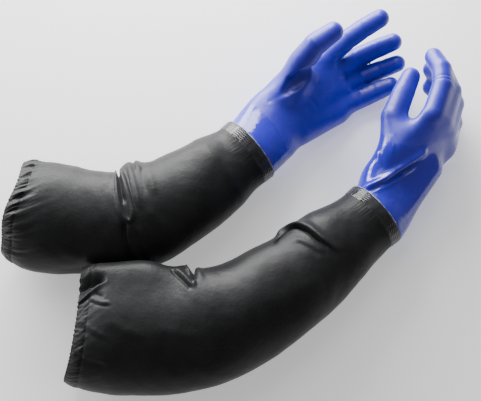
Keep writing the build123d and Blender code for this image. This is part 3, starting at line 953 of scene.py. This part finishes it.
def weld_tape():
    n = Nodes("weld_tape")
    press = n.math("MULTIPLY", n.wave(260.0, "DIAGONAL"), n.noise(300.0, 2.0))
    colour = n.mix(n.spread(n.noise(60.0, 3.0), 0, 1), (0.011, 0.011, 0.012), (0.024, 0.024, 0.027))
    rough = n.spread(n.noise(110.0, 3.0), 0.20, 0.32)
    return n.finish(colour, rough, n.bump(press, 0.00025, 0.5), IOR=1.5)


def weld_band():
    n = Nodes("weld_band")
    mark = n.noise(70.0, 4.0, 0.6)
    colour = n.mix(n.spread(mark, 0, 1, 0.35, 0.7), (0.011, 0.011, 0.013), (0.032, 0.033, 0.040))
    rough = n.spread(n.noise(90.0, 3.0), 0.16, 0.30)
    return n.finish(colour, rough, n.bump(n.noise(420.0, 3.0), 0.0003, 0.4), IOR=1.5)


def pale_bead():
    n = Nodes("seal_bead")
    mark = n.noise(160.0, 3.0, 0.6)
    colour = n.mix(n.spread(mark, 0, 1, 0.36, 0.62), (0.10, 0.11, 0.17), (0.42, 0.44, 0.52))
    return n.finish(colour, n.spread(mark, 0.28, 0.45), n.bump(mark, 0.0004, 0.4), IOR=1.5)


def knit():
    n = Nodes("knit_liner")
    loops = n.math("MULTIPLY", n.wave(240.0, "X", 0.6), n.wave(150.0, "Y", 0.6))
    colour = n.mix(loops, (0.50, 0.49, 0.45), (0.72, 0.71, 0.67))
    return n.finish(colour, n.spread(n.noise(300.0), 0.75, 0.95), n.bump(loops, 0.0006, 0.7),
                    Sheen_Weight=0.3)


def elastic_mat():
    n = Nodes("elastic_braid")
    rib = n.math("MULTIPLY", n.wave(300.0, "X"), n.wave(300.0, "Z"))
    colour = n.mix(rib, (0.03, 0.03, 0.03), (0.09, 0.09, 0.095))
    return n.finish(colour, n.spread(n.noise(200.0), 0.7, 0.9), n.bump(rib, 0.0003, 0.6))


def thread_mat():
    n = Nodes("thread")
    twist = n.wave(900.0, "DIAGONAL")
    colour = n.mix(n.spread(twist, 0, 1), (0.045, 0.045, 0.050), (0.12, 0.12, 0.13))
    return n.finish(colour, n.spread(n.noise(400.0), 0.45, 0.65), n.bump(twist, 0.0001, 0.6))


def floor_mat():
    n = Nodes("pale_floor")
    colour = n.mix(n.spread(n.noise(3.0), 0, 1), (0.93, 0.93, 0.93), (0.95, 0.95, 0.95))
    return n.finish(colour, 0.9, Emission_Color=(1, 1, 1, 1), Emission_Strength=0.45)


# ------------------------------------------------------------------ studio
# name, place, what it points at, width and height (m), power (W)
LIGHTS = [
    ("back_left", (-0.70, 1.55, 0.42), (0.05, 0, 0.05), (2.2, 0.72), 118),
    ("overhead", (-0.3, 0.9, 1.9), (0, 0, 0), (1.4, 1.4), 12),
    ("hand_card", (-0.07, 0.74, 0.53), (0.2, 0.15, 0.06), (0.4, 0.3), 8),
    ("left_low", (-1.75, 0.7, 0.33), (0.1, 0.1, 0.06), (0.9, 0.55), 11),
]
AMBIENT, FLOOR_REACH = 0.22, 4.0
CAMERA_DISTANCE, CAMERA_ELEVATION, AIM_HEIGHT = 1.4, 70, 0.060
VIEW_WIDTH = 0.00138 * 481                   # what the 481-wide picture shows from side to side, m


def area_light(name, place, aim, size, power):
    data = bpy.data.lights.new(name, "AREA")
    data.shape, data.size, data.size_y, data.energy = "RECTANGLE", size[0], size[1], power
    obj = bpy.data.objects.new(name, data)
    obj.location = place
    obj.rotation_euler = (Vector(aim) - Vector(place)).to_track_quat("-Z", "Y").to_euler()
    bpy.context.scene.collection.objects.link(obj)


def studio():
    mesh = bpy.data.meshes.new("floor")
    r = FLOOR_REACH
    mesh.from_pydata([(-r, -r, 0), (r, -r, 0), (r, r, 0), (-r, r, 0)], [], [(0, 1, 2, 3)])
    floor = bpy.data.objects.new("floor", mesh)
    floor.data.materials.append(floor_mat())
    bpy.context.scene.collection.objects.link(floor)
    world = bpy.data.worlds.new("studio")
    world.use_nodes = True
    world.node_tree.nodes["Background"].inputs["Color"].default_value = (1, 1, 1, 1)
    world.node_tree.nodes["Background"].inputs["Strength"].default_value = AMBIENT
    bpy.context.scene.world = world
    for row in LIGHTS:
        area_light(*row)


def camera():
    elevation = math.radians(CAMERA_ELEVATION)
    target = Vector((SHIFT[0] / 1000, SHIFT[1] / 1000, AIM_HEIGHT))
    data = bpy.data.cameras.new("camera")
    data.sensor_width, data.lens = 36.0, 36.0 * CAMERA_DISTANCE / VIEW_WIDTH
    obj = bpy.data.objects.new("camera", data)
    obj.location = target + CAMERA_DISTANCE * Vector((0, -math.cos(elevation), math.sin(elevation)))
    obj.rotation_euler = (target - obj.location).to_track_quat("-Z", "Y").to_euler()
    bpy.context.scene.collection.objects.link(obj)
    bpy.context.scene.camera = obj


camera()
studio()
fabric, tape_m, band_m, bead_m = black_fabric(), weld_tape(), weld_band(), pale_bead()
thread_m, blue, liner_m, elastic_m = thread_mat(), blue_pvc(), knit(), elastic_mat()
for glove in (LEFT, RIGHT):
    tube, shape = make_sleeve(glove, fabric, tape_m, band_m, bead_m, thread_m)
    make_elastic(glove, shape, elastic_m)
    make_hand(glove, tube, blue, liner_m)
